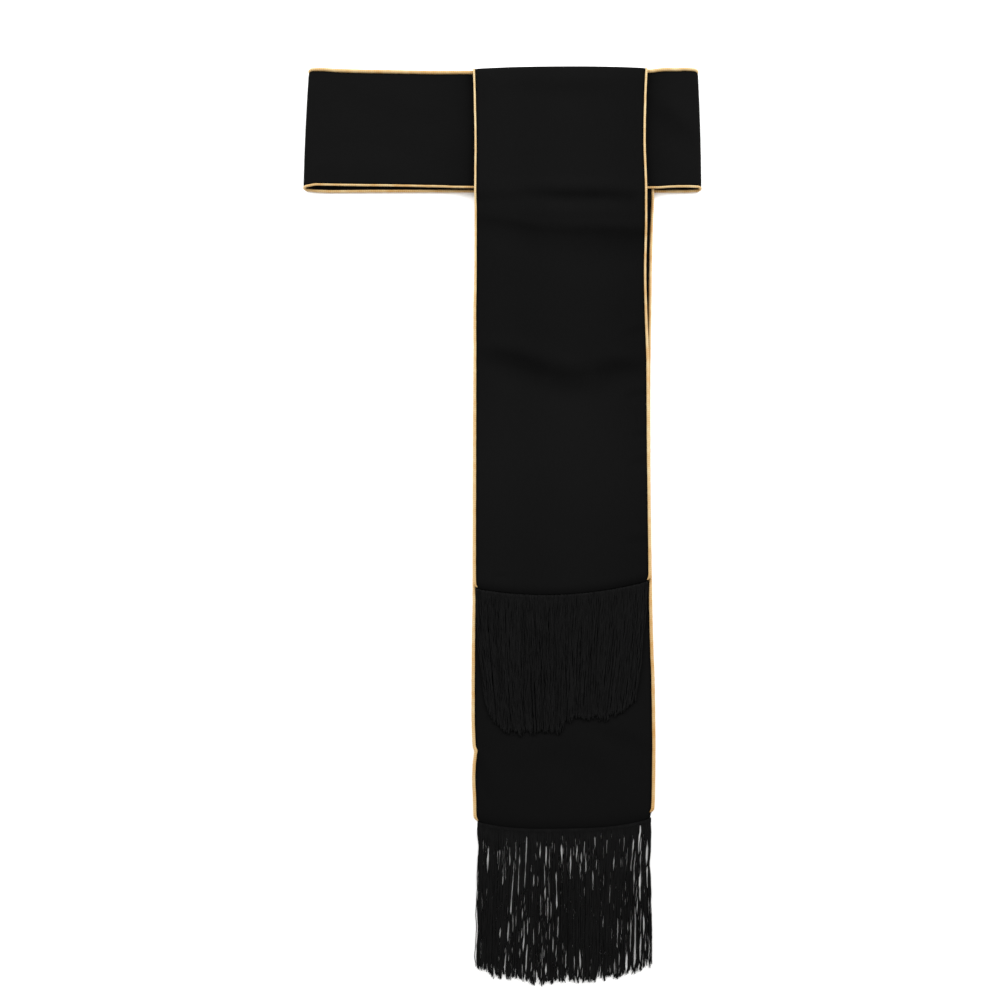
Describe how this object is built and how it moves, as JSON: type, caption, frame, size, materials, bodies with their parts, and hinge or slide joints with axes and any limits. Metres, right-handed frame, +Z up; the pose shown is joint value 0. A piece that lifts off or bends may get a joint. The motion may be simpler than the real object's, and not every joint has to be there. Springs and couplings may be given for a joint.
{
  "type": "cincture",
  "caption": "Band cincture laid flat: a waistband loop pressed flat, a front tail turned over its top edge and a longer back tail sewn in behind, piped along the edges and fringed at the hems.",
  "frame": {"origin": "bottom centre of the whole garment as it lies, on the surface under it", "axes": "+X along the waistband to the right as seen from above, +Y from the fringes to the waistband, +Z up off the surface"},
  "size_m": [0.4082, 0.9298, 0.0133],
  "materials": {
    "black_cloth": "matte black, finely woven",
    "gold_piping": "satin gold corded piping",
    "black_fringe": "soft sheen black twisted fringe"
  },
  "bodies": {
    "root": {"waistband": "black_cloth", "waistband_piping_upper": "gold_piping", "waistband_piping_lower": "gold_piping", "tail_front": "black_cloth", "tail_front_piping_left": "gold_piping", "tail_front_piping_right": "gold_piping", "tail_back": "black_cloth", "tail_back_piping_left": "gold_piping", "tail_back_piping_right": "gold_piping", "fringe_front": "black_fringe", "fringe_back": "black_fringe"}
  },
  "joints": []
}
